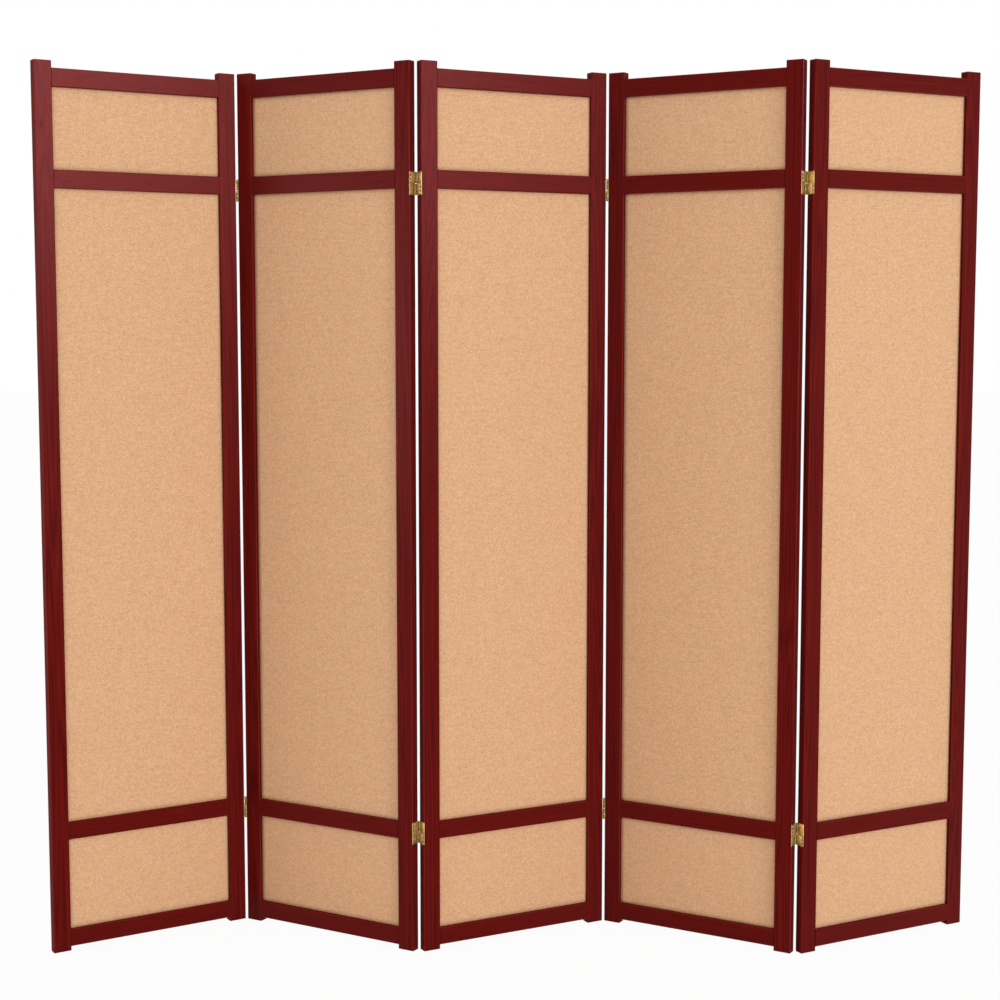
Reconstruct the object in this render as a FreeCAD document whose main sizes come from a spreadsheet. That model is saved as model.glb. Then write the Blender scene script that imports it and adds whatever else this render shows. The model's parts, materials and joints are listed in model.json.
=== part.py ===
import FreeCAD, Part
import os

import Sketcher
from FreeCAD import Placement, Rotation, Vector

# A free-standing folding screen of five panels. Each panel is a stained wooden frame of two stiles and
# four rails, tenoned together, with three panes of woven jute held in a groove round each opening.
# The panels are joined by brass two-way hinges, two at each fold, so that they stand in a zigzag.
# Every panel is drawn in its own frame, X along its width, Y from front to back and Z up from the floor,
# and is then turned to its heading and moved to its place in the zigzag.

SIZES = {
    # The frame of a panel, from the floor up
    "panel_height": 1784,
    "panel_width": 421,
    "panel_thickness": 20,
    "stile_width": 36,
    "rail_height": 36,
    "foot_height": 8.5,
    "bottom_opening": 186,
    "top_opening": 160,
    "top_overhang": 14,
    "arris": 1.2,
    # The joints of the rails to the stiles
    "tenon_length": 20,
    "tenon_thickness": 6,
    "mortise_clearance": 0.1,
    # The panes and the groove that holds them
    "pane_setback": 7.5,
    "pane_thickness": 1.2,
    "pane_tuck": 5,
    "groove_depth": 6,
    "groove_clearance": 0.3,
    # The two-way hinges
    "upper_hinge_drop": 9,
    "lower_hinge_drop": 4,
    "leaf_height": 45,
    "leaf_thickness": 1,
    "recess_clearance": 0.1,
    "barrel_diameter": 3.4,
    "pin_diameter": 1.8,
    "pin_clearance": 0.05,
    "link_thickness": 1.5,
    "axis_reach": 0.3,
    "swing_clearance": 0.3,
    "knuckle_gap": 0.3,
    "middle_gap": 1,
    # How the screen stands: the middle panel's heading, and how far each fold is closed from straight
    "middle_heading": 28.1,
    "first_fold_angle": 61.4,
    "inner_fold_angle": 57.4,
    "last_fold_angle": 57.7,
}

PANELS = range(1, 6)
MIDDLE_PANEL = 3
# Each fold joins a panel to the next one and turns about the barrels on its front or its back.
FOLD_SIDES = {1: "front", 2: "back", 3: "front", 4: "back"}
SIDE_SIGNS = {"front": -1, "back": 1}
# A barrel's knuckles belong to the leaf and the link in turn, counted from the hinge's middle outward.
KNUCKLES_PER_BARREL = 3
LEAF_KNUCKLES = range(0, KNUCKLES_PER_BARREL, 2)
LINK_KNUCKLES = range(1, KNUCKLES_PER_BARREL, 2)
# The screen has about a hundred knuckles, so they and the pins in them are drawn with few flats.
BARREL_FLATS = 12
PIN_FLATS = 8

doc = FreeCAD.newDocument("folding_screen")
sheet = doc.addObject("Spreadsheet::Sheet", "Sizes")
for row, (name, value) in enumerate(SIZES.items(), 1):
    sheet.set(f"A{row}", name)
    sheet.set(f"B{row}", str(value))
    sheet.setAlias(f"B{row}", name)
doc.recompute()

# Sizes that follow from the driving ones, as expressions on the sheet's cells
RAIL_LENGTH = "(Sizes.panel_width - 2 * Sizes.stile_width)"
RAIL_CENTRES = {
    "top": "(Sizes.panel_height - Sizes.top_overhang - Sizes.rail_height / 2)",
    "upper": "(Sizes.panel_height - Sizes.top_overhang - Sizes.top_opening - 1.5 * Sizes.rail_height)",
    "lower": "(Sizes.foot_height + Sizes.bottom_opening + 1.5 * Sizes.rail_height)",
    "bottom": "(Sizes.foot_height + Sizes.rail_height / 2)",
}
# Each pane fills the opening between two rails.
PANE_RAILS = {"top": ("upper", "top"), "middle": ("lower", "upper"), "bottom": ("bottom", "lower")}
# The edges of each rail that carry a groove: 1 is the upper edge, -1 the lower one
GROOVED_EDGES = {"top": (-1,), "upper": (-1, 1), "lower": (-1, 1), "bottom": (1,)}
TENON_HEIGHT = "(Sizes.rail_height - 2 * Sizes.groove_depth)"
GROOVE_WIDTH = "(Sizes.pane_thickness + 2 * Sizes.groove_clearance)"
PANE_FRONT = "(Sizes.pane_setback - Sizes.panel_thickness / 2)"
GROOVE_CENTRE = f"({PANE_FRONT} + Sizes.pane_thickness / 2)"

# Each fold has one hinge by the upper rails and one by the lower rails. The leaves are let into the
# stiles' edges, so the barrels between them set the gap.
HINGE_CENTRES = {rail: f"({RAIL_CENTRES[rail]} - Sizes.{rail}_hinge_drop)" for rail in ("upper", "lower")}
EDGE_GAP = "(Sizes.barrel_diameter + 2 * Sizes.swing_clearance)"
AXIS_DEPTH = "(Sizes.panel_thickness / 2 + Sizes.axis_reach)"
BARREL_LENGTH = "((Sizes.leaf_height - Sizes.middle_gap) / 2)"
BARREL_CENTRE = f"(Sizes.middle_gap / 2 + {BARREL_LENGTH} / 2)"
KNUCKLE_PITCH = f"({BARREL_LENGTH} / {KNUCKLES_PER_BARREL})"
KNUCKLE_LENGTH = f"({KNUCKLE_PITCH} - Sizes.knuckle_gap)"
# The flats of a bore clear the corners of its pin.
BORE_RADIUS = f"((Sizes.pin_diameter / 2 + Sizes.pin_clearance) / cos(180 deg / {PIN_FLATS}))"


def size_of(expression):
    """The present value of an expression on the sheet's cells, in millimetres or degrees."""
    return float(sheet.evalExpression(expression))


def knuckle_centre(number):
    """How far a knuckle's middle lies from the hinge's middle, counted outward."""
    return f"(Sizes.middle_gap / 2 + {number + 0.5} * {KNUCKLE_PITCH})"


# Drawing helpers: a sketch on one of a body's own planes, its outline, and what is made from it


def attach(feature, body, plane, along_x="0", along_y="0", lift="0"):
    """Sets a feature on one of its body's origin planes, moved in that plane and off it."""
    support = [item for item in body.Origin.OriginFeatures if item.Role == plane]
    feature.AttachmentSupport = [(support[0], "")]
    feature.MapMode = "FlatFace"
    for axis, distance in (("x", along_x), ("y", along_y), ("z", lift)):
        feature.setExpression(f"AttachmentOffset.Base.{axis}", distance)


def sketch_on(body, name, plane, **place):
    sketch = body.newObject("Sketcher::SketchObject", name)
    attach(sketch, body, plane, **place)
    return sketch


def bind(sketch, constraint, expression):
    index = sketch.addConstraint(constraint)
    sketch.setExpression(f"Constraints[{index}]", expression)


def draw_rectangle(sketch, width, height):
    """A rectangle centred on the sketch's origin."""
    corners = [Vector(-1, -1, 0), Vector(1, -1, 0), Vector(1, 1, 0), Vector(-1, 1, 0)]
    for start, end in zip(corners, corners[1:] + corners[:1]):
        sketch.addGeometry(Part.LineSegment(start, end), False)
    for side in range(4):
        sketch.addConstraint(Sketcher.Constraint("Coincident", side, 2, (side + 1) % 4, 1))
        direction = "Vertical" if side % 2 else "Horizontal"
        sketch.addConstraint(Sketcher.Constraint(direction, side))
    sketch.addConstraint(Sketcher.Constraint("Symmetric", 0, 1, 1, 2, -1, 1))
    bind(sketch, Sketcher.Constraint("DistanceX", 0, 1, 0, 2, 2), width)
    bind(sketch, Sketcher.Constraint("DistanceY", 1, 1, 1, 2, 2), height)


def extrude(kind, body, sketch, name, length, both_ways=True, backwards=False):
    """A Pad or a Pocket of a sketch, to both sides of it or to one."""
    feature = body.newObject(f"PartDesign::{kind}", name)
    feature.Profile = sketch
    feature.setExpression("Length", length)
    feature.Midplane = both_ways
    feature.Reversed = backwards
    return feature


def chamfer_edges(body, base, name, wanted):
    """Eases the edges of a feature for which wanted(edge) is true."""
    doc.recompute()
    chamfer = body.newObject("PartDesign::Chamfer", name)
    names = [f"Edge{index}" for index, edge in enumerate(base.Shape.Edges, 1) if wanted(edge)]
    chamfer.Base = (base, names)
    chamfer.setExpression("Size", "Sizes.arris")


# The wooden frame


def make_stile(label, hand, has_hinges):
    """An upright of the frame: hand is -1 for the left one and 1 for the right one.

    Its inner edge has one mortise for each rail and a groove for the panes, stopped behind the end rails.
    Where it has hinges, its outer edge is recessed for their leaves.
    """
    body = doc.addObject("PartDesign::Body", label)
    centre = f"{hand} * (Sizes.panel_width - Sizes.stile_width) / 2"
    outline = sketch_on(body, f"{label}_section", "XY_Plane", along_x=centre)
    draw_rectangle(outline, "Sizes.stile_width", "Sizes.panel_thickness")
    bar = extrude("Pad", body, outline, f"{label}_bar", "Sizes.panel_height", both_ways=False)
    chamfer_edges(body, bar, f"{label}_arrises", lambda edge: edge.BoundBox.ZMax > 0)

    inner_edge = f"{hand} * {RAIL_LENGTH} / 2"
    cuts_right = hand > 0
    groove = sketch_on(
        body,
        f"{label}_groove_outline",
        "YZ_Plane",
        along_x=GROOVE_CENTRE,
        along_y=f"({RAIL_CENTRES['top']} + {RAIL_CENTRES['bottom']}) / 2",
        lift=inner_edge,
    )
    draw_rectangle(groove, GROOVE_WIDTH, f"{RAIL_CENTRES['top']} - {RAIL_CENTRES['bottom']}")
    extrude("Pocket", body, groove, f"{label}_groove", "Sizes.groove_depth", False, cuts_right)
    for rail, height in RAIL_CENTRES.items():
        name = f"{label}_{rail}_mortise"
        mortise = sketch_on(body, f"{name}_outline", "YZ_Plane", along_y=height, lift=inner_edge)
        draw_rectangle(
            mortise,
            "Sizes.tenon_thickness + 2 * Sizes.mortise_clearance",
            f"{TENON_HEIGHT} + 2 * Sizes.mortise_clearance",
        )
        depth = "Sizes.tenon_length + Sizes.mortise_clearance"
        extrude("Pocket", body, mortise, name, depth, False, cuts_right)
    for rail, height in HINGE_CENTRES.items() if has_hinges else ():
        name = f"{label}_{rail}_recess"
        outer_edge = f"{hand} * Sizes.panel_width / 2"
        recess = sketch_on(body, f"{name}_outline", "YZ_Plane", along_y=height, lift=outer_edge)
        draw_rectangle(recess, "Sizes.panel_thickness", "Sizes.leaf_height + 2 * Sizes.recess_clearance")
        extrude("Pocket", body, recess, name, "Sizes.leaf_thickness", False, not cuts_right)
    return body


def runs_along_panel(edge):
    return edge.BoundBox.XLength > edge.BoundBox.YLength + edge.BoundBox.ZLength


def make_rail(label, rail):
    """A cross bar of the frame, with a tenon on each end and a groove along each edge that holds a pane."""
    body = doc.addObject("PartDesign::Body", label)
    height = RAIL_CENTRES[rail]
    outline = sketch_on(body, f"{label}_section", "YZ_Plane", along_y=height)
    draw_rectangle(outline, "Sizes.panel_thickness", "Sizes.rail_height")
    bar = extrude("Pad", body, outline, f"{label}_bar", RAIL_LENGTH)
    chamfer_edges(body, bar, f"{label}_arrises", runs_along_panel)
    for side in GROOVED_EDGES[rail]:
        name = f"{label}_{'upper' if side > 0 else 'lower'}_groove"
        edge = f"{height} + {side} * (Sizes.rail_height - Sizes.groove_depth) / 2"
        groove = sketch_on(body, f"{name}_outline", "YZ_Plane", along_x=GROOVE_CENTRE, along_y=edge)
        draw_rectangle(groove, GROOVE_WIDTH, "Sizes.groove_depth")
        extrude("Pocket", body, groove, name, RAIL_LENGTH)
    tenon = sketch_on(body, f"{label}_tenon_outline", "YZ_Plane", along_y=height)
    draw_rectangle(tenon, "Sizes.tenon_thickness", TENON_HEIGHT)
    extrude("Pad", body, tenon, f"{label}_tenons", f"{RAIL_LENGTH} + 2 * Sizes.tenon_length")
    return body


# The woven panes


def make_pane(label, pane):
    """A flat piece of jute cloth, its four edges tucked into the grooves."""
    below, above = (RAIL_CENTRES[rail] for rail in PANE_RAILS[pane])
    cloth = doc.addObject("Part::Box", label)
    cloth.setExpression("Length", f"{RAIL_LENGTH} + 2 * Sizes.pane_tuck")
    cloth.setExpression("Width", "Sizes.pane_thickness")
    cloth.setExpression("Height", f"{above} - {below} - Sizes.rail_height + 2 * Sizes.pane_tuck")
    corner = Vector(
        size_of(f"-{RAIL_LENGTH} / 2 - Sizes.pane_tuck"),
        size_of(PANE_FRONT),
        size_of(f"{below} + Sizes.rail_height / 2 - Sizes.pane_tuck"),
    )
    return cloth, Placement(corner, Rotation())


# The two-way hinge: drawn closed, about the middle of the gap between two stiles. In its upper half the
# left leaf holds the front barrel and the right leaf the back one, and in its lower half they change
# over. In each half a link joins its two barrels, so either pair of barrels can open while the other
# pair stays shut. The right leaf is the left one turned over, and the lower link is the upper one.


def add_round(kind, body, name, flats, radius, length, depth, centre):
    """An Additive or Subtractive upright round of a hinge, given by its axis and its middle."""
    prism = body.newObject(f"PartDesign::{kind}Prism", name)
    attach(prism, body, "XY_Plane", along_y=depth, lift=f"{centre} - {length} / 2")
    prism.Polygon = flats
    prism.setExpression("Circumradius", radius)
    prism.setExpression("Height", length)


def add_barrel(body, name, side, half, knuckles):
    """Knuckles on one axis of the hinge, side -1 at the front and half 1 at the top, bored for the pin."""
    depth = f"{side} * {AXIS_DEPTH}"
    for number in knuckles:
        centre = f"{half} * {knuckle_centre(number)}"
        roll = f"{name}_roll_{number}"
        radius = "Sizes.barrel_diameter / 2"
        add_round("Additive", body, roll, BARREL_FLATS, radius, KNUCKLE_LENGTH, depth, centre)
    bore = f"{name}_bore"
    centre = f"{half} * {BARREL_CENTRE}"
    add_round("Subtractive", body, bore, PIN_FLATS, BORE_RADIUS, BARREL_LENGTH, depth, centre)


def make_leaf():
    """A hinge leaf: a plate in the stile's edge, with knuckles at the front above and at the back below."""
    body = doc.addObject("PartDesign::Body", "hinge_leaf")
    plate = sketch_on(body, "leaf_outline", "YZ_Plane", lift=f"-{EDGE_GAP} / 2 - Sizes.leaf_thickness")
    draw_rectangle(plate, "Sizes.panel_thickness", "Sizes.leaf_height")
    extrude("Pad", body, plate, "leaf_plate", "Sizes.leaf_thickness", both_ways=False)
    neck_width = f"({EDGE_GAP} / 2)"
    neck_depth = "(Sizes.barrel_diameter / 2 - Sizes.axis_reach)"
    for name, side, half in (("upper_front", -1, 1), ("lower_back", 1, -1)):
        for number in LEAF_KNUCKLES:
            neck = sketch_on(
                body,
                f"{name}_neck_{number}_outline",
                "XY_Plane",
                along_x=f"-{neck_width} / 2",
                along_y=f"{side} * (Sizes.panel_thickness - {neck_depth}) / 2",
                lift=f"{half} * {knuckle_centre(number)}",
            )
            draw_rectangle(neck, neck_width, neck_depth)
            extrude("Pad", body, neck, f"{name}_neck_{number}", KNUCKLE_LENGTH)
        add_barrel(body, name, side, half, LEAF_KNUCKLES)
    return body


def make_link():
    """The link of the hinge's upper half: a plate between the leaves with a knuckle row on each edge."""
    body = doc.addObject("PartDesign::Body", "hinge_link")
    plate = sketch_on(body, "link_outline", "YZ_Plane", along_y=BARREL_CENTRE)
    clear_depth = f"2 * ({AXIS_DEPTH} - Sizes.barrel_diameter / 2 - Sizes.swing_clearance)"
    draw_rectangle(plate, clear_depth, f"{BARREL_LENGTH} - Sizes.knuckle_gap")
    extrude("Pad", body, plate, "link_plate", "Sizes.link_thickness")
    for number in LINK_KNUCKLES:
        tongue = sketch_on(body, f"link_tongue_{number}", "YZ_Plane", along_y=knuckle_centre(number))
        draw_rectangle(tongue, f"2 * {AXIS_DEPTH}", KNUCKLE_LENGTH)
        extrude("Pad", body, tongue, f"link_tongues_{number}", "Sizes.link_thickness")
    add_barrel(body, "link_front", -1, 1, LINK_KNUCKLES)
    add_barrel(body, "link_back", 1, 1, LINK_KNUCKLES)
    return body


def make_pin():
    pin = doc.addObject("Part::Prism", "hinge_pin")
    pin.Polygon = PIN_FLATS
    pin.setExpression("Circumradius", "Sizes.pin_diameter / 2")
    pin.setExpression("Height", BARREL_LENGTH)
    return pin


LEAF = make_leaf()
LINK = make_link()
PIN = make_pin()
TURNED_OVER = Placement(Vector(), Rotation(Vector(0, 1, 0), 180))
AXIS_DISTANCE = size_of(AXIS_DEPTH)
BARREL_START = size_of("Sizes.middle_gap / 2")
BARREL_END = size_of("Sizes.leaf_height / 2")
LEAF_PINS = (Vector(0, -AXIS_DISTANCE, BARREL_START), Vector(0, AXIS_DISTANCE, -BARREL_END))
HINGE_HEIGHTS = [size_of(height) for height in HINGE_CENTRES.values()]
HINGE_OFFSET = size_of(f"(Sizes.panel_width + {EDGE_GAP}) / 2")


def place_copy(source, place, members):
    copy = doc.addObject("App::Link", f"{source.Name}_copy")
    copy.LinkedObject = source
    copy.Placement = place
    members.append(copy)


def make_hinge_parts(panel):
    """The leaves, links and pins that a panel carries on its two edges, as three groups of solids.

    A link lies against the leaf with which it shares the barrels that stay shut at this fold.
    """
    members = {"leaves": [], "links": [], "pins": []}
    for hand, fold in ((-1, panel - 1), (1, panel)):
        if fold not in FOLD_SIDES:
            continue
        is_left_panel = hand > 0
        carries_upper_link = is_left_panel == (FOLD_SIDES[fold] == "back")
        for height in HINGE_HEIGHTS:
            upright = Placement(Vector(hand * HINGE_OFFSET, 0, height), Rotation())
            turned = upright.multiply(TURNED_OVER)
            leaf_place = upright if is_left_panel else turned
            place_copy(LEAF, leaf_place, members["leaves"])
            place_copy(LINK, upright if carries_upper_link else turned, members["links"])
            for foot in LEAF_PINS:
                place_copy(PIN, leaf_place.multiply(Placement(foot, Rotation())), members["pins"])
    groups = {}
    for kind, copies in members.items():
        groups[kind] = doc.addObject("Part::Compound", f"panel_{panel}_hinge_{kind}")
        groups[kind].Links = copies
    return groups


# The zigzag: each panel is hung on the fold axis that it shares with the panel before it.

HEADINGS = {MIDDLE_PANEL: size_of("Sizes.middle_heading")}
for panel in (2, 4):
    HEADINGS[panel] = HEADINGS[MIDDLE_PANEL] - size_of("Sizes.inner_fold_angle")
HEADINGS[1] = HEADINGS[2] + size_of("Sizes.first_fold_angle")
HEADINGS[5] = HEADINGS[4] + size_of("Sizes.last_fold_angle")


def fold_axis(fold, hand):
    """Where a fold's axis meets the floor, in the frame of the panel that has it on its hand side."""
    return Vector(hand * HINGE_OFFSET, SIDE_SIGNS[FOLD_SIDES[fold]] * AXIS_DISTANCE, 0)


def hang_panel(panel, fold, hand, axis):
    """The place of a panel whose hand side lies on a fold's axis."""
    turn = Rotation(Vector(0, 0, 1), HEADINGS[panel])
    return Placement(axis - turn.multVec(fold_axis(fold, hand)), turn)


places = {MIDDLE_PANEL: Placement(Vector(), Rotation(Vector(0, 0, 1), HEADINGS[MIDDLE_PANEL]))}
for panel in (2, 1):
    axis = places[panel + 1].multVec(fold_axis(panel, -1))
    places[panel] = hang_panel(panel, panel, 1, axis)
for panel in (4, 5):
    axis = places[panel - 1].multVec(fold_axis(panel - 1, 1))
    places[panel] = hang_panel(panel, panel - 1, -1, axis)

# The assembly: every node is an object and its place in its panel's frame.

nodes = []
for panel in PANELS:
    parts = []
    for side, hand, fold in (("left", -1, panel - 1), ("right", 1, panel)):
        parts.append((make_stile(f"panel_{panel}_{side}_stile", hand, fold in FOLD_SIDES), Placement()))
    for rail in RAIL_CENTRES:
        parts.append((make_rail(f"panel_{panel}_{rail}_rail", rail), Placement()))
    for pane in PANE_RAILS:
        parts.append(make_pane(f"panel_{panel}_{pane}_pane", pane))
    for group in make_hinge_parts(panel).values():
        parts.append((group, Placement()))
    for node, place in parts:
        node.Placement = places[panel].multiply(place)
        nodes.append(node)
doc.recompute()

# The origin is on the floor, under the middle of the footprint.
box = Part.makeCompound([node.Shape for node in nodes]).optimalBoundingBox()
to_origin = Placement(Vector(-box.Center.x, -box.Center.y, 0), Rotation())
for node in nodes:
    node.Placement = to_origin.multiply(node.Placement)
doc.recompute()

# Every groove, mortise, recess and bore takes some cubic millimetres of its piece away.
CUTS = ("PartDesign::Pocket", "PartDesign::SubtractivePrism")
LEAST_CUT = 1
for item in doc.Objects:
    if {"Invalid", "Error"} & set(item.State):
        raise RuntimeError(f"{item.Label} did not build: {item.State}")
    if item.TypeId in CUTS and item.BaseFeature.Shape.Volume - item.Shape.Volume < LEAST_CUT:
        raise RuntimeError(f"{item.Label} cuts nothing")
for node in nodes:
    if node.Shape.isNull() or not node.Shape.isValid():
        raise RuntimeError(f"{node.Label} has no valid shape")

for fold, side in FOLD_SIDES.items():
    axis = to_origin.multiply(places[fold]).multVec(fold_axis(fold, 1))
    print(f"fold {fold} turns on the {side} axis at {axis.x:.4f}, {axis.y:.4f} mm")
print("size", [round(length, 2) for length in (box.XLength, box.YLength, box.ZLength)])
print("headings", HEADINGS)

os.makedirs("parts", exist_ok=True)
for node in nodes:
    node.Shape.exportStep(f"parts/{node.Label}.step")
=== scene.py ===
import json
import math

import bmesh
import bpy
from mathutils import Matrix, Vector

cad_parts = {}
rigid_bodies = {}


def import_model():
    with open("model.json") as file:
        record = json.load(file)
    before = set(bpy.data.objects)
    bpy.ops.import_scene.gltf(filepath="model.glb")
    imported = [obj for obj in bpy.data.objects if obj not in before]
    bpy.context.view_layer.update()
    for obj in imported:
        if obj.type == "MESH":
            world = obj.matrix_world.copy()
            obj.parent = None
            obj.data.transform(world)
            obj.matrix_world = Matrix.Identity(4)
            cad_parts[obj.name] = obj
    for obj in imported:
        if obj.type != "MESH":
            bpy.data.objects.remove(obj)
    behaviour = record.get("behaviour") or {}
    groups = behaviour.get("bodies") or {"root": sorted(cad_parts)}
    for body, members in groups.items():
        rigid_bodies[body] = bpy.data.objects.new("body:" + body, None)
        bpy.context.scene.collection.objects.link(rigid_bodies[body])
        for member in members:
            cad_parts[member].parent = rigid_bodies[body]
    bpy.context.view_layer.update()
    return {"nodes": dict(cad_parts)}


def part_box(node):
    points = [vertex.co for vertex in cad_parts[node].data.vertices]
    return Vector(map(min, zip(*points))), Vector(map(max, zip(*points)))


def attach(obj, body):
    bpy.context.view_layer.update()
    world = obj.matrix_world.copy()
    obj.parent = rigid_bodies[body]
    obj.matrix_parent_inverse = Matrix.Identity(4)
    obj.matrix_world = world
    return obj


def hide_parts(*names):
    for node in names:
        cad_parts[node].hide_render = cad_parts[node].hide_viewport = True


# The folding screen as it comes from the workshop: five panels that stand in a zigzag. Each panel has
# axes of its own, with X along its width, Y from its front to its back and Z up from the floor.
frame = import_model()

MM = 0.001
PANELS = range(1, 6)


def middle_of(node):
    low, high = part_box(node)
    return (low + high) / 2


panel_places = {}
panel_headings = {}
for panel in PANELS:
    left_foot = middle_of(f"panel_{panel}_left_stile").to_2d()
    right_foot = middle_of(f"panel_{panel}_right_stile").to_2d()
    across = right_foot - left_foot
    panel_headings[panel] = math.atan2(across.y, across.x)
    stand = Matrix.Translation(((left_foot + right_foot) / 2).to_3d())
    panel_places[panel] = stand @ Matrix.Rotation(panel_headings[panel], 4, "Z")


def box_in_panel(panel, node):
    """The lowest and highest corners of a solid along its panel's own axes."""
    to_panel = panel_places[panel].inverted()
    points = [to_panel @ vertex.co for vertex in frame["nodes"][node].data.vertices]
    low = Vector(min(point[axis] for point in points) for axis in range(3))
    high = Vector(max(point[axis] for point in points) for axis in range(3))
    return low, high


# The frames: straight-grained softwood stiles and rails, planed, tenoned and flush, with eased arrises.
# They are stained dark red under a satin lacquer, which lets the grain show faintly, least on the rails,
# and is thinner and rougher on the edges. The arrises get a painted highlight: a lighter stain in streaks
# along them. The solids have the right shape, so they only get their finish here.
SIDES = ("left", "right")
RAILS = ("top", "upper", "lower", "bottom")
STAIN_DEEP = (76, 7, 5)
STAIN = (94, 12, 7)
STAIN_LIGHT = (106, 17, 11)
# The next colour is a painted highlight, laid in streaks along the arrises.
ARRIS_HIGHLIGHT = (134, 42, 32)
DEEP_TONE, PLAIN_TONE, LIGHT_TONE = 0.28, 0.5, 0.74
LACQUER_TINT = (1.0, 0.33, 0.33, 1.0)
LACQUER_GLOSS = 0.13
LACQUER_ROUGHNESS = 0.23
NEXT_PLANK = Vector((3.1, 1.7, 5.3))
FIGURE = {"Z": 1.0, "X": 0.5}
RING_STRETCH = (34.0, 34.0, 0.9)
RINGS = 17.0
RING_SHARE = 0.35
RING_RELIEF = 0.3
STREAK_STRETCH = (330.0, 330.0, 3.4)
STREAK_SHARE = 0.65
STREAK_RELIEF = 0.5
STREAK_ROUGHNESS = 0.06
PORE_STRETCH = (1500.0, 1500.0, 38.0)
PORE_SPAN = (0.6, 0.75)
PORE_STAIN = 0.5
PORE_ROUGHNESS = 0.12
GRAIN_DEPTH = 0.05 * MM
GRAIN_RELIEF = 0.35
ARRIS_SPAN = (0.75, 0.9)
ARRIS_HIGHLIGHT_SPAN = (0.3, 0.6)
ARRIS_HIGHLIGHT_SHARE = 0.6
EDGE_SPAN = (0.7, 0.9)
EDGE_ROUGHNESS = 0.45
SMOOTH_NOISE = {"detail": 1.0, "roughness": 0.5}
USUAL_NOISE = {"detail": 2.0, "roughness": 0.5}
RICH_NOISE = {"detail": 3.0, "roughness": 0.6}


def linear(colour):
    """A colour given as 0 to 255, as the shaders take it: the standard curve for screens, undone."""
    shares = [channel / 255 for channel in colour]
    return (*(s / 12.92 if s <= 0.04045 else ((s + 0.055) / 1.055) ** 2.4 for s in shares), 1.0)


class Field:
    """A value that changes over a surface. Arithmetic on it adds Math nodes to its material."""

    def __init__(self, tree, socket=None):
        self.tree = tree
        self.socket = socket

    def add(self, kind, settings, sockets, output=0):
        """Adds a node: its settings first, then the values or links of its sockets."""
        node = self.tree.nodes.new(f"ShaderNode{kind}")
        for name, value in settings.items():
            setattr(node, name, value)
        for name, value in sockets.items():
            if isinstance(value, Field):
                self.tree.links.new(value.socket, node.inputs[name])
            else:
                node.inputs[name].default_value = value
        return Field(self.tree, node.outputs[output])

    def math(self, operation, *values):
        return self.add("Math", {"operation": operation}, dict(enumerate(values)))

    def __add__(self, other):
        return self.math("ADD", self, other)

    __radd__ = __add__

    def __sub__(self, other):
        return self.math("SUBTRACT", self, other)

    def __rsub__(self, other):
        return self.math("SUBTRACT", other, self)

    def __mul__(self, other):
        return self.math("MULTIPLY", self, other)

    __rmul__ = __mul__

    def __truediv__(self, other):
        return self.math("DIVIDE", self, other)

    def __rtruediv__(self, other):
        return self.math("DIVIDE", other, self)

    def __mod__(self, other):
        return self.math("FLOORED_MODULO", self, other)

    def __rmod__(self, other):
        return self.math("FLOORED_MODULO", other, self)

    def __abs__(self):
        return self.math("ABSOLUTE", self)


def highest(first, *others):
    for other in others:
        first = first.math("MAXIMUM", first, other)
    return first


def bands(value):
    """A wave with straight sides between zero and one, one wave for each whole number."""
    return value.math("PINGPONG", value, 0.5) * 2.0


def ramp(value, low, high, start=0.0, end=1.0):
    """A smooth step of a value from start to end."""
    step = {"Value": value, "From Min": low, "From Max": high, "To Min": start, "To Max": end}
    return value.add("MapRange", {"interpolation_type": "SMOOTHSTEP"}, step)


def blend(share, first, second):
    """A colour between two others. The Mix node has its colours at sockets 6 and 7, and gives one at 2."""
    return share.add("Mix", {"data_type": "RGBA"}, {0: share, 6: first, 7: second}, output=2)


def split(vector):
    return [vector.add("SeparateXYZ", {}, {0: vector}, output=axis) for axis in range(3)]


def joined(x, y, z):
    return x.add("CombineXYZ", {}, {0: x, 1: y, 2: z})


def moved(vector, offset):
    return vector.add("VectorMath", {"operation": "ADD"}, {0: vector, 1: offset})


def stretched(vector, stretch):
    return vector.add("VectorMath", {"operation": "MULTIPLY"}, {0: vector, 1: stretch})


def noise(vector, detail, roughness):
    sockets = {"Vector": vector, "Scale": 1.0, "Detail": detail, "Roughness": roughness}
    return vector.add("TexNoise", {}, sockets)


def new_material(name, sockets):
    """A material, its Principled shader with some sockets set, and the Field that adds other nodes."""
    material = bpy.data.materials.new(name)
    material.use_nodes = True
    shader = material.node_tree.nodes["Principled BSDF"]
    for socket, value in sockets.items():
        shader.inputs[socket].default_value = value
    return material, shader, Field(material.node_tree)


def feed(field, shader, socket):
    field.tree.links.new(field.socket, shader.inputs[socket])


def emboss(height, shader, depth, strength):
    """Gives a finish the relief of a height that changes over it."""
    relief = {"Height": height, "Distance": depth, "Strength": strength}
    feed(height.add("Bump", {}, relief), shader, "Normal")


def turned_to_panel(field, panel, output, kind):
    """The coordinates or normals of a solid, turned to its panel's own axes."""
    coordinates = field.add("TexCoord", {}, {}, output=output)
    turn = {"Vector": coordinates, "Rotation": (0.0, 0.0, -panel_headings[panel])}
    return field.add("Mapping", {"vector_type": kind}, turn)


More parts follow.
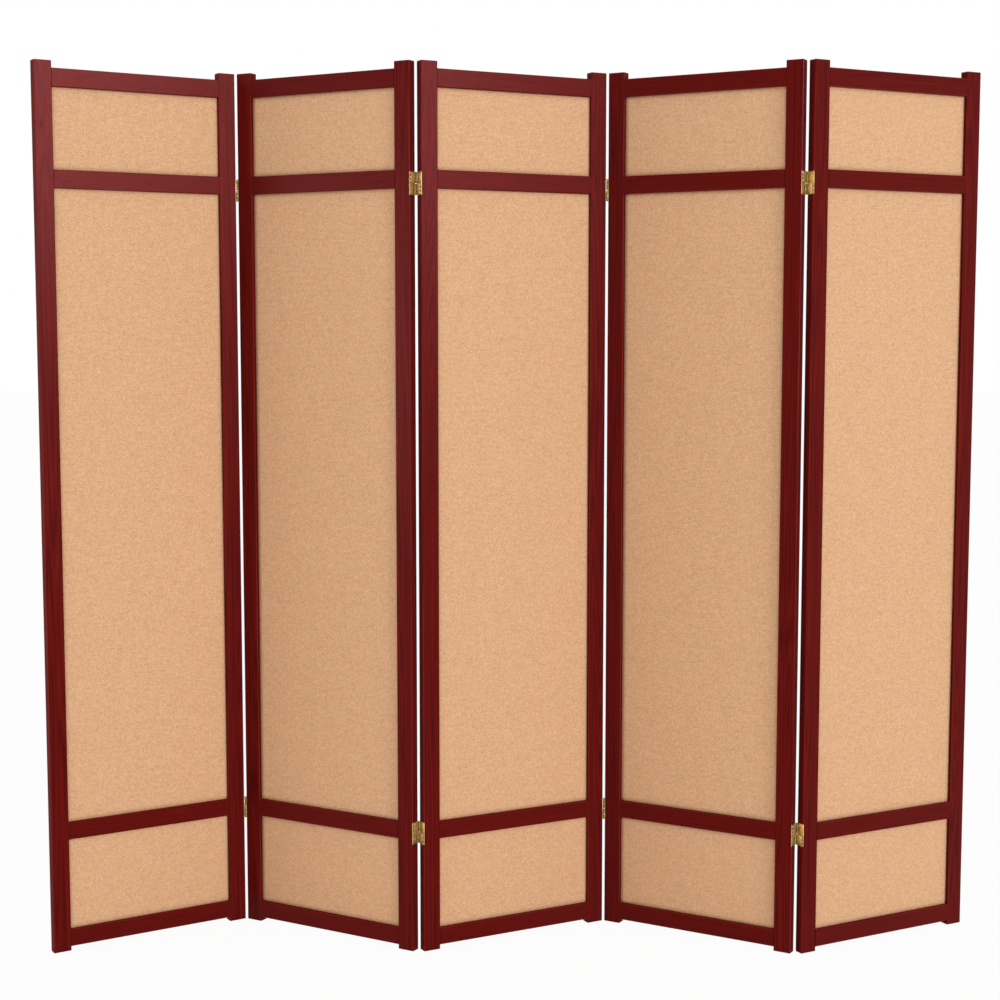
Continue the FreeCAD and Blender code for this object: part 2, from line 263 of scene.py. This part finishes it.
def stained_wood(panel, grain):
    """The finish of one panel's stiles, with their grain along Z, or of its rails, with theirs along X."""
    lacquer = {"Specular IOR Level": LACQUER_GLOSS, "Specular Tint": LACQUER_TINT}
    material, shader, field = new_material(f"stained_wood_{panel}_{grain.lower()}", lacquer)
    place = turned_to_panel(field, panel, "Object", "POINT")
    axes = split(moved(place, NEXT_PLANK * panel))
    if grain == "X":
        axes.reverse()
    plank = joined(*axes)

    rings = bands(noise(stretched(plank, RING_STRETCH), **SMOOTH_NOISE) * RINGS)
    streaks = noise(stretched(plank, STREAK_STRETCH), **RICH_NOISE)
    pores = ramp(noise(stretched(plank, PORE_STRETCH), **SMOOTH_NOISE), *PORE_SPAN)
    figure = rings * RING_SHARE + streaks * STREAK_SHARE - PLAIN_TONE
    tone = figure * FIGURE[grain] + PLAIN_TONE
    stain = blend(ramp(tone, DEEP_TONE, PLAIN_TONE), linear(STAIN_DEEP), linear(STAIN))
    stain = blend(ramp(tone, PLAIN_TONE, LIGHT_TONE), stain, linear(STAIN_LIGHT))
    stain = blend(pores * PORE_STAIN, stain, linear(STAIN_DEEP))

    facing = [abs(side) for side in split(turned_to_panel(field, panel, "Normal", "NORMAL"))]
    arris = ramp(highest(*facing), *ARRIS_SPAN, start=1.0, end=0.0)
    # A painted highlight: lighter stain in streaks on the chamfered arrises, where they would catch the
    # light.
    arris_highlight = arris * ramp(streaks, *ARRIS_HIGHLIGHT_SPAN) * ARRIS_HIGHLIGHT_SHARE
    stain = blend(arris_highlight, stain, linear(ARRIS_HIGHLIGHT))
    edge = ramp(highest(facing[0], facing[2]), *EDGE_SPAN)

    feed(stain, shader, "Base Color")
    roughness = LACQUER_ROUGHNESS + streaks * STREAK_ROUGHNESS + pores * PORE_ROUGHNESS
    feed(roughness + edge * EDGE_ROUGHNESS, shader, "Roughness")
    emboss(streaks * STREAK_RELIEF + rings * RING_RELIEF - pores, shader, GRAIN_DEPTH, GRAIN_RELIEF)
    return material


def dress(node, material):
    """Gives a solid of the frame its finish."""
    frame["nodes"][node].data.materials.clear()
    frame["nodes"][node].data.materials.append(material)


for panel in PANELS:
    upright_wood = stained_wood(panel, "Z")
    level_wood = stained_wood(panel, "X")
    for side in SIDES:
        dress(f"panel_{panel}_{side}_stile", upright_wood)
    for rail in RAILS:
        dress(f"panel_{panel}_{rail}_rail", level_wood)

# The panes: plain-woven tan jute, cut to the opening with a tuck all round and held taut in the grooves.
# The hand-spun yarns are uneven, so each crossing of warp and weft differs a little from the next.
PANES = ("top", "middle", "bottom")
CLOTH_THICKNESS = 1.0 * MM
CLOTH_MESH = 14 * MM
RIPPLE = 0.25 * MM
RIPPLE_ACROSS = 9.0
RIPPLE_UP = 31.0
PANEL_PHASE, PANE_PHASE = 1.3, 0.7
NEXT_CLOTH = Vector((0.7, 0.0, 1.9))
WARP_PITCH = 2.35 * MM
WEFT_PITCH = 2.45 * MM
YARN_WANDER = 0.6
WANDER_STRETCH = (40.0, 40.0, 40.0)
CRIMP = 0.45
CROSSING_EDGE = 0.08
WARP_PALE = (253, 214, 172)
WARP_TAN = (225, 174, 132)
WEFT_TAN = (234, 183, 141)
WEFT_BROWN = (198, 145, 104)
# The dark brown between the yarns is painted shade of the gaps in the weave.
YARN_GAP_SHADE = (126, 82, 52)
GAP_SHADE_SPAN = (0.15, 0.55)
GAP_SHADE_SHARE = 0.75
YARN_STEP = 7.31
WARP_SLUBS = 130.0
WEFT_SLUBS = 50.0
FIBRE_LENGTH = 600.0
FIBRE_WIDTH = 4200.0
SLUB_SHARE, SPUN_SHARE, FIBRE_SHARE = 0.45, 0.2, 0.35
TONE_SPAN = (0.22, 0.78)
FIBRE_RELIEF = 0.2
WEAVE_DEPTH = 0.5 * MM
WEAVE_RELIEF = 0.35
JUTE_ROUGHNESS = 0.95
JUTE_GLOSS = 0.1


def cosine(angle):
    return angle.math("COSINE", angle)


def jute(panel):
    """The weave of one panel's panes, with the warp upright."""
    matt = {"Roughness": JUTE_ROUGHNESS, "Specular IOR Level": JUTE_GLOSS}
    material, shader, field = new_material(f"jute_{panel}", matt)
    cloth = moved(turned_to_panel(field, panel, "Object", "POINT"), NEXT_CLOTH * panel)
    width, _, height = split(cloth)
    wander = (noise(stretched(cloth, WANDER_STRETCH), **USUAL_NOISE) - 0.5) * YARN_WANDER
    warp = width / WARP_PITCH + wander
    weft = height / WEFT_PITCH + wander
    warp_number = warp - warp % 1.0
    weft_number = weft - weft % 1.0
    round_warp = cosine((warp - warp_number - 0.5) * math.pi)
    round_weft = cosine((weft - weft_number - 0.5) * math.pi)
    over = (warp_number + weft_number) % 2.0 * 2.0 - 1.0
    warp_height = round_warp * (1 - CRIMP) + over * round_weft * CRIMP
    weft_height = round_weft * (1 - CRIMP) - over * round_warp * CRIMP
    warp_on_top = ramp(warp_height - weft_height, -CROSSING_EDGE, CROSSING_EDGE)
    surface = highest(warp_height, weft_height)

    crossing = joined(warp_number, weft_number, 0.0)
    spun = field.add("TexWhiteNoise", {"noise_dimensions": "2D"}, {"Vector": crossing})
    warp_slubs = noise(joined(warp_number * YARN_STEP, 0.0, height * WARP_SLUBS), **USUAL_NOISE)
    weft_slubs = noise(joined(width * WEFT_SLUBS, YARN_STEP, weft_number * YARN_STEP), **USUAL_NOISE)
    slubs = weft_slubs + (warp_slubs - weft_slubs) * warp_on_top
    warp_fibres = noise(stretched(cloth, (FIBRE_WIDTH, FIBRE_WIDTH, FIBRE_LENGTH)), **USUAL_NOISE)
    weft_fibres = noise(stretched(cloth, (FIBRE_LENGTH, FIBRE_WIDTH, FIBRE_WIDTH)), **USUAL_NOISE)
    fibres = weft_fibres + (warp_fibres - weft_fibres) * warp_on_top

    tone = ramp(slubs * SLUB_SHARE + spun * SPUN_SHARE + fibres * FIBRE_SHARE, *TONE_SPAN)
    warp_colour = blend(tone, linear(WARP_TAN), linear(WARP_PALE))
    weft_colour = blend(tone, linear(WEFT_BROWN), linear(WEFT_TAN))
    yarn = blend(warp_on_top, weft_colour, warp_colour)
    # Painted shade: dark brown where the weave's surface sinks between the yarns.
    yarn = blend(ramp(surface, *GAP_SHADE_SPAN, start=GAP_SHADE_SHARE, end=0.0), yarn, linear(YARN_GAP_SHADE))

    feed(yarn, shader, "Base Color")
    emboss(surface + fibres * FIBRE_RELIEF, shader, WEAVE_DEPTH, WEAVE_RELIEF)
    return material


def mesh_of(name, shape):
    mesh = bpy.data.meshes.new(name)
    shape.to_mesh(mesh)
    shape.free()
    return mesh


def put(name, data):
    """Puts a mesh, a lamp or a camera in the scene."""
    thing = bpy.data.objects.new(name, data)
    bpy.context.scene.collection.objects.link(thing)
    return thing


def taut_cloth(name, low, high, phase):
    """A sheet that fills a box, flat at its held edges and faintly rippled between them."""
    width, height = high.x - low.x, high.z - low.z
    columns, rows = round(width / CLOTH_MESH), round(height / CLOTH_MESH)
    sheet = bmesh.new()
    bmesh.ops.create_grid(sheet, x_segments=columns, y_segments=rows, size=0.5)
    for vertex in sheet.verts:
        u, v = vertex.co.x + 0.5, vertex.co.y + 0.5
        held = math.sin(math.pi * u) * math.sin(math.pi * v)
        wave = math.sin(RIPPLE_ACROSS * u + phase) + math.sin(RIPPLE_UP * v * height + 2.0 * phase)
        depth = (low.y + high.y) / 2 + RIPPLE * held * wave
        vertex.co = Vector((low.x + u * width, depth, low.z + v * height))
    piece = put(name, mesh_of(name, sheet))
    piece.data.shade_smooth()
    thickness = piece.modifiers.new("thickness", "SOLIDIFY")
    thickness.thickness = CLOTH_THICKNESS
    thickness.offset = 0.0
    return piece


for panel in PANELS:
    woven = jute(panel)
    for number, pane in enumerate(PANES):
        node = f"panel_{panel}_{pane}_pane"
        low, high = box_in_panel(panel, node)
        phase = PANEL_PHASE * panel + PANE_PHASE * number
        cloth = taut_cloth(f"panel_{panel}_{pane}_jute", low, high, phase)
        cloth.data.transform(panel_places[panel])
        cloth.data.materials.append(woven)
        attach(cloth, f"panel_{panel}")
        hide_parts(node)

# The hinge leaves: stamped brass plates, let into each stile's edge at the upper and the lower rail.
# Each leaf has rolled knuckles at the front in one half and at the back in the other, so that the fold can
# open either way. Its opposite leaf is the same piece turned over.
UPPER, LOWER = 1, -1
FRONT, BACK = -1, 1
FOLD_SIDES = {1: FRONT, 2: BACK, 3: FRONT, 4: BACK}
TURNED_OVER = Matrix.Rotation(math.pi, 4, "Y")
LEAF_HEIGHT = 45.0 * MM
LEAF_DEPTH = 20.0 * MM
LEAF_THICKNESS = 1.0 * MM
EDGE_GAP = 4.0 * MM
AXIS_DEPTH = 10.3 * MM
BARREL_RADIUS = 1.7 * MM
BARREL_END_RADIUS = 1.1 * MM
SHOULDER_LENGTH = 2.4 * MM
SHOULDER_STEPS = 4
BORE_RADIUS = 0.95 * MM
NECK_DEPTH = 1.4 * MM
MIDDLE_GAP = 1.0 * MM
KNUCKLES = 3
OUTER_KNUCKLES = (0, 2)
MIDDLE_KNUCKLE = 1
KNUCKLE_GAP = 0.3 * MM
BARREL_LENGTH = (LEAF_HEIGHT - MIDDLE_GAP) / 2
KNUCKLE_PITCH = BARREL_LENGTH / KNUCKLES
KNUCKLE_LENGTH = KNUCKLE_PITCH - KNUCKLE_GAP
STAMPED_EDGE = 0.2 * MM
STAMPED_EDGE_STEPS = 2
ROUND_STEPS = 32
SHARP_ANGLE = math.radians(32)
TINY = 0.001 * MM
BRASS = (226, 200, 142)
BRASS_DULL = (196, 166, 110)
BRASS_DARK = (112, 84, 46)
# The dark brown on the knuckles is painted shade of the fold's recess and of the gaps between the knuckles.
KNUCKLE_SHADE = (84, 50, 33)
KNUCKLE_SHADE_MARK = "knuckle_shade"
KNUCKLE_SHADE_SPAN = (0.0, 0.7)
BARREL_SHADE = 0.36
PATCH_STRETCH = (190.0, 190.0, 190.0)
DULL_SPAN = (0.35, 0.7)
DARK_SPAN = (0.62, 0.8)
DARK_SHARE = 0.5
ROUGH_SPAN = (0.4, 0.75)
BRASS_ROUGHNESS = 0.38
BRUSHED_ROUGHNESS = 0.12
PATCH_ROUGHNESS = 0.12
SHADED_KNUCKLE_ROUGHNESS = 0.1
BRUSH_STRETCH = (900.0, 900.0, 5200.0)
BRUSH_DEPTH = 0.02 * MM
BRUSH_RELIEF = 0.5


def plated_brass():
    """Brushed brass that has gone dull in patches, with painted shade, dark and rougher, where a piece is
    marked for it.
    """
    material, shader, field = new_material("plated_brass", {"Metallic": 1.0})
    place = field.add("TexCoord", {}, {}, output="Object")
    brushed = noise(stretched(place, BRUSH_STRETCH), **USUAL_NOISE)
    patches = noise(stretched(place, PATCH_STRETCH), **RICH_NOISE)
    knuckle_shade = field.add("Attribute", {"attribute_name": KNUCKLE_SHADE_MARK}, {}, output="Fac")
    colour = blend(ramp(patches, *DULL_SPAN), linear(BRASS), linear(BRASS_DULL))
    colour = blend(ramp(patches, *DARK_SPAN) * DARK_SHARE, colour, linear(BRASS_DARK))
    # Painted shade on the knuckles where they are marked, darkest at their ends by the gaps between them.
    colour = blend(ramp(knuckle_shade, *KNUCKLE_SHADE_SPAN), colour, linear(KNUCKLE_SHADE))
    feed(colour, shader, "Base Color")
    roughness = BRASS_ROUGHNESS + brushed * BRUSHED_ROUGHNESS + ramp(patches, *ROUGH_SPAN) * PATCH_ROUGHNESS
    feed(roughness + knuckle_shade * SHADED_KNUCKLE_ROUGHNESS, shader, "Roughness")
    emboss(brushed, shader, BRUSH_DEPTH, BRUSH_RELIEF)
    return material


def block(low, high):
    """A flat of brass between two corners, with its edges broken."""
    shape = bmesh.new()
    size = Vector(high) - Vector(low)
    place = Matrix.Translation((Vector(low) + Vector(high)) / 2) @ Matrix.Diagonal((*size, 1.0))
    bmesh.ops.create_cube(shape, size=1.0, matrix=place)
    broken = {"offset": STAMPED_EDGE, "segments": STAMPED_EDGE_STEPS, "profile": 0.5, "affect": "EDGES"}
    bmesh.ops.bevel(shape, geom=shape.edges[:], **broken)
    return shape


def turned(outline, closed):
    """A round piece about Z, turned from an outline of radii and heights."""
    shape = bmesh.new()
    points = [shape.verts.new((radius, 0.0, height)) for radius, height in outline]
    pairs = list(zip(points, points[1:]))
    if closed:
        pairs.append((points[-1], points[0]))
    edges = [shape.edges.new(pair) for pair in pairs]
    turn = {"cent": (0, 0, 0), "axis": (0, 0, 1), "angle": 2 * math.pi, "steps": ROUND_STEPS}
    bmesh.ops.spin(shape, geom=points + edges, **turn)
    bmesh.ops.remove_doubles(shape, verts=shape.verts, dist=TINY)
    bmesh.ops.recalc_face_normals(shape, faces=shape.faces)
    return shape


def quarter_round(steps):
    """The sine and cosine of each step of a right angle."""
    angles = [math.pi / 2 * step / steps for step in range(steps + 1)]
    return [(math.sin(angle), math.cos(angle)) for angle in angles]


def knuckle_height(half, number):
    """How far a knuckle's middle lies above the hinge's middle, with the knuckles counted outward."""
    return half * (MIDDLE_GAP / 2 + (number + 0.5) * KNUCKLE_PITCH)


def knuckle(side, half, number):
    """A rolled knuckle with rounded shoulders, on the front or the back axis."""
    end = -KNUCKLE_LENGTH / 2
    rise = BARREL_RADIUS - BARREL_END_RADIUS
    outline = [(BORE_RADIUS, end)]
    for up, along in quarter_round(SHOULDER_STEPS):
        outline.append((BARREL_END_RADIUS + rise * up, end + SHOULDER_LENGTH * (1 - along)))
    outline += [(radius, -height) for radius, height in reversed(outline)]
    roll = turned(outline, closed=True)
    place = (0.0, side * AXIS_DEPTH, knuckle_height(half, number))
    bmesh.ops.translate(roll, verts=roll.verts, vec=place)
    return roll


def sort_by_place(mesh):
    """Puts a mesh's points and faces in an order that is the same at each run of the script."""
    points = sorted(mesh.vertices, key=lambda point: tuple(point.co))
    numbers = {point.index: number for number, point in enumerate(points)}
    faces = []
    for face in mesh.polygons:
        corners = [numbers[index] for index in face.vertices]
        first = corners.index(min(corners))
        faces.append(corners[first:] + corners[:first])
    places = [tuple(point.co) for point in points]
    mesh.clear_geometry()
    mesh.from_pydata(places, [], sorted(faces))


def combined(name, operation, first, others):
    """One mesh from solids that run into each other, or from a solid with others cut out of it."""
    base = put(name, mesh_of(name, first))
    tools = bpy.data.collections.new(f"{name}_tools")
    for shape in others:
        tools.objects.link(bpy.data.objects.new(f"{name}_tool", mesh_of(f"{name}_tool", shape)))
    modifier = base.modifiers.new("combined", "BOOLEAN")
    modifier.operation = operation
    modifier.operand_type = "COLLECTION"
    modifier.collection = tools
    modifier.solver = "EXACT"
    depsgraph = bpy.context.evaluated_depsgraph_get()
    mesh = bpy.data.meshes.new_from_object(base.evaluated_get(depsgraph))
    for item in (base, *tools.objects):
        bpy.data.objects.remove(item)
    bpy.data.collections.remove(tools)
    sort_by_place(mesh)
    return mesh


def shade_knuckles(mesh):
    """Marks the knuckles for painted shade: a little over each whole knuckle, and more on its shoulders
    towards the ends.
    """
    marks = mesh.attributes.new(KNUCKLE_SHADE_MARK, "FLOAT", "POINT")
    for vertex, mark in zip(mesh.vertices, marks.data):
        side = FRONT if vertex.co.y < 0 else BACK
        from_axis = (vertex.co.to_2d() - Vector((0.0, side * AXIS_DEPTH))).length
        from_gap = (abs(vertex.co.z) - MIDDLE_GAP / 2) % KNUCKLE_PITCH
        up_shoulder = abs(from_gap - KNUCKLE_PITCH / 2) - KNUCKLE_LENGTH / 2 + SHOULDER_LENGTH
        if from_axis < BARREL_RADIUS + TINY:
            mark.value = max(up_shoulder / SHOULDER_LENGTH, BARREL_SHADE)


def stamped_leaf():
    """The leaf of a hinge's left panel: knuckles at the front in the upper half, at the back in the lower."""
    face = -EDGE_GAP / 2
    back = face - LEAF_THICKNESS
    plate = block((back, -LEAF_DEPTH / 2, -LEAF_HEIGHT / 2), (face, LEAF_DEPTH / 2, LEAF_HEIGHT / 2))
    rolls = []
    for side, half in ((FRONT, UPPER), (BACK, LOWER)):
        outside = side * LEAF_DEPTH / 2
        inside = outside - side * NECK_DEPTH
        for number in OUTER_KNUCKLES:
            height = knuckle_height(half, number)
            low = (face - LEAF_THICKNESS / 2, min(outside, inside), height - KNUCKLE_LENGTH / 2)
            high = (-BORE_RADIUS, max(outside, inside), height + KNUCKLE_LENGTH / 2)
            rolls += [block(low, high), knuckle(side, half, number)]
    leaf = combined("stamped_leaf", "UNION", plate, rolls)
    shade_knuckles(leaf)
    return leaf


def hinge_places(panel):
    """The places of a panel's leaves and of its links, along the panel's own axes."""
    low, high = box_in_panel(panel, f"panel_{panel}_hinge_leaves")
    stile_edge = box_in_panel(panel, f"panel_{panel}_right_stile")[1].x
    leaves, links = [], []
    for hand, fold in ((-1, panel - 1), (1, panel)):
        if fold not in FOLD_SIDES:
            continue
        is_left_panel = hand > 0
        carries_upper_link = is_left_panel == (FOLD_SIDES[fold] == BACK)
        for height in (low.z + LEAF_HEIGHT / 2, high.z - LEAF_HEIGHT / 2):
            upright = Matrix.Translation((hand * (stile_edge + EDGE_GAP / 2), 0.0, height))
            leaves.append(upright if is_left_panel else upright @ TURNED_OVER)
            links.append(upright if carries_upper_link else upright @ TURNED_OVER)
    return leaves, links


def fitted(name, mesh, places, panel):
    """A panel's group of one brass piece, with a copy at each place."""
    group = bmesh.new()
    for place in places:
        copy = mesh.copy()
        copy.transform(panel_places[panel] @ place)
        group.from_mesh(copy)
        bpy.data.meshes.remove(copy)
    piece = put(name, mesh_of(name, group))
    piece.data.shade_smooth()
    piece.data.set_sharp_from_angle(angle=SHARP_ANGLE)
    piece.data.materials.append(brass)
    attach(piece, f"panel_{panel}")
    return piece


brass = plated_brass()
leaf_mesh = stamped_leaf()
leaf_places = {}
link_places = {}
for panel in PANELS:
    leaf_places[panel], link_places[panel] = hinge_places(panel)
    leaves = fitted(f"panel_{panel}_leaves", leaf_mesh, leaf_places[panel], panel)
    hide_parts(f"panel_{panel}_hinge_leaves")

# The hinge links: thick brass plates between the leaves, one in the upper and one in the lower half of each
# hinge. A tongue at either edge is rolled into a knuckle, so a link joins a front barrel to a back one.
LINK_THICKNESS = 1.5 * MM
LINK_DEPTH = 16.6 * MM


def swing_link():
    """The link of the upper half, with the middle knuckle of both its barrels."""
    half_width = LINK_THICKNESS / 2
    foot = (MIDDLE_GAP + KNUCKLE_GAP) / 2
    head = foot + BARREL_LENGTH - KNUCKLE_GAP
    plate = block((-half_width, -LINK_DEPTH / 2, foot), (half_width, LINK_DEPTH / 2, head))
    height = knuckle_height(UPPER, MIDDLE_KNUCKLE)
    reach = AXIS_DEPTH - BORE_RADIUS
    low = (-half_width, -reach, height - KNUCKLE_LENGTH / 2)
    high = (half_width, reach, height + KNUCKLE_LENGTH / 2)
    rolls = [knuckle(side, UPPER, MIDDLE_KNUCKLE) for side in (FRONT, BACK)]
    link = combined("swing_link", "UNION", plate, [block(low, high), *rolls])
    shade_knuckles(link)
    return link


link_mesh = swing_link()
for panel in PANELS:
    links = fitted(f"panel_{panel}_links", link_mesh, link_places[panel], panel)
    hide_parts(f"panel_{panel}_hinge_links")

# The hinge pins: brass wire through the knuckles of each barrel, with the outer end riveted to a dome.
# A pin stays with the leaf that has the barrel's outer knuckles.
PIN_RADIUS = 0.9 * MM
PIN_HEAD_RADIUS = 1.15 * MM
PIN_HEAD_RISE = 0.45 * MM
DOME_STEPS = 5


def riveted_pin():
    """A pin that stands on the hinge's middle gap."""
    neck = BARREL_LENGTH - KNUCKLE_GAP / 2
    outline = [(0.0, 0.0), (PIN_RADIUS - STAMPED_EDGE, 0.0), (PIN_RADIUS, STAMPED_EDGE), (PIN_RADIUS, neck)]
    for up, along in quarter_round(DOME_STEPS):
        outline.append((PIN_HEAD_RADIUS * along, neck + PIN_HEAD_RISE * up))
    pin = mesh_of("riveted_pin", turned(outline, closed=False))
    sort_by_place(pin)
    return pin


pin_mesh = riveted_pin()
upper_pin = Matrix.Translation((0.0, FRONT * AXIS_DEPTH, MIDDLE_GAP / 2))
lower_pin = Matrix.Translation((0.0, BACK * AXIS_DEPTH, -MIDDLE_GAP / 2)) @ TURNED_OVER
for panel in PANELS:
    places = [leaf @ pin for leaf in leaf_places[panel] for pin in (upper_pin, lower_pin)]
    pins = fitted(f"panel_{panel}_pins", pin_mesh, places, panel)
    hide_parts(f"panel_{panel}_hinge_pins")

# The leaf screws: countersunk brass wood screws with a cross recess, two through each leaf into the stile.
# Their heads sit almost flush in the plate.
SCREW_HEAD_RADIUS = 2.7 * MM
SCREW_SHANK_RADIUS = 1.5 * MM
SCREW_LENGTH = 12.0 * MM
SCREW_POINT = 3.0 * MM
SCREW_RIM = 0.02 * MM
SCREW_RISE = 0.25 * MM
RECESS_REACH = 1.6 * MM
RECESS_WIDTH = 0.7 * MM
RECESS_DEPTH = 0.85 * MM
RECESS_TOP = 0.5 * MM
SCREW_SPREAD = 13.5 * MM


def leaf_screw():
    """A screw along Z with its head up, whose rim lies at zero height."""
    outline = [(0.0, -SCREW_LENGTH), (SCREW_SHANK_RADIUS, SCREW_POINT - SCREW_LENGTH)]
    outline += [(SCREW_SHANK_RADIUS, SCREW_SHANK_RADIUS - SCREW_HEAD_RADIUS), (SCREW_HEAD_RADIUS, 0.0)]
    for up, along in quarter_round(DOME_STEPS):
        outline.append((SCREW_HEAD_RADIUS * along, SCREW_RIM + SCREW_RISE * up))
    cross = []
    for along, across in ((RECESS_REACH, RECESS_WIDTH / 2), (RECESS_WIDTH / 2, RECESS_REACH)):
        cross.append(block((-along, -across, -RECESS_DEPTH), (along, across, RECESS_TOP)))
    return combined("leaf_screw", "DIFFERENCE", turned(outline, closed=False), cross)


screw_mesh = leaf_screw()
facing_gap = Matrix.Rotation(math.pi / 2, 4, "Y")
screw_places = []
for half in (UPPER, LOWER):
    seat = Matrix.Translation((-EDGE_GAP / 2, 0.0, half * SCREW_SPREAD))
    screw_places.append(seat @ facing_gap)
for panel in PANELS:
    places = [leaf @ screw for leaf in leaf_places[panel] for screw in screw_places]
    fitted(f"panel_{panel}_screws", screw_mesh, places, panel)

# The floor: plain and white, with only a faint shadow of the screen on it.
# It is not part of the screen.
FLOOR_SIZE = 60.0
FLOOR_GREY = (0.86, 0.86, 0.86, 1.0)
FLOOR_GLOW = 0.95
WHITE = (1.0, 1.0, 1.0, 1.0)


def seen_directly(field):
    """One for the rays that show the background itself: to the camera, or by a mirror or glass."""
    rays = ("Is Camera Ray", "Is Glossy Ray", "Is Transmission Ray")
    return highest(*(field.add("LightPath", {}, {}, output=ray) for ray in rays))


ground = bmesh.new()
bmesh.ops.create_grid(ground, x_segments=1, y_segments=1, size=FLOOR_SIZE / 2)
floor = put("floor", mesh_of("floor", ground))

chalky = {"Base Color": FLOOR_GREY, "Roughness": 1.0, "Specular IOR Level": 0.0}
white_floor, shader, field = new_material("white_floor", chalky)
glow = field.add("Emission", {}, {"Color": WHITE, "Strength": 1.0})
lit = Field(white_floor.node_tree, shader.outputs[0])
mixed = field.add("MixShader", {}, {0: seen_directly(field) * FLOOR_GLOW, 1: lit, 2: glow})
feed(mixed, white_floor.node_tree.nodes["Material Output"], "Surface")
floor.data.materials.append(white_floor)

# Soft studio light: an even white room, a large softbox far off to the right that gives the lacquer its
# sheen, and a wide weak one on the left, which leaves the folds that point back in a soft shade.
ROOM_LIGHT = 0.69
SOFTBOXES = {
    "key_softbox": {"bearing": 46.0, "distance": 30.0, "height": 6.0, "size": (8.0, 6.0), "watts": 3500.0},
    "fill_softbox": {"bearing": -74.0, "distance": 10.0, "height": 1.2, "size": (4.0, 2.0), "watts": 184.0},
}
AIM = Vector((0.0, 0.0, 1.0))

room = bpy.data.worlds.new("white_room")
room.use_nodes = True
bpy.context.scene.world = room
background = room.node_tree.nodes["Background"]
background.inputs["Color"].default_value = WHITE
strength = seen_directly(Field(room.node_tree)) * (1.0 - ROOM_LIGHT) + ROOM_LIGHT
feed(strength, background, "Strength")

for name, softbox in SOFTBOXES.items():
    lamp = bpy.data.lights.new(name, "AREA")
    lamp.shape = "RECTANGLE"
    lamp.size, lamp.size_y = softbox["size"]
    lamp.energy = softbox["watts"]
    bearing = math.radians(softbox["bearing"])
    stand = put(name, lamp)
    stand.location = Vector((math.sin(bearing), -math.cos(bearing), 0.0)) * softbox["distance"]
    stand.location.z = softbox["height"]
    stand.rotation_euler = (AIM - stand.location).to_track_quat("-Z", "Y").to_euler()

# The camera stands in front of the screen at about seven tenths of its height and looks down a little.
# Its place and lens were fitted to the edges of the stiles and rails.
CAMERA_AT = (-0.0077, -3.7273, 1.2735)
CAMERA_LENS = 65.904
CAMERA_SENSOR = 36.0
CAMERA_DOWN = 0.09617
CAMERA_LEFT = 0.00714

lens = bpy.data.cameras.new("front_camera")
lens.lens = CAMERA_LENS
lens.sensor_width = CAMERA_SENSOR
camera = put("front_camera", lens)
camera.location = CAMERA_AT
camera.rotation_euler = (math.pi / 2 - CAMERA_DOWN, 0.0, CAMERA_LEFT)
bpy.context.scene.camera = camera
bpy.context.scene.view_settings.view_transform = "Standard"
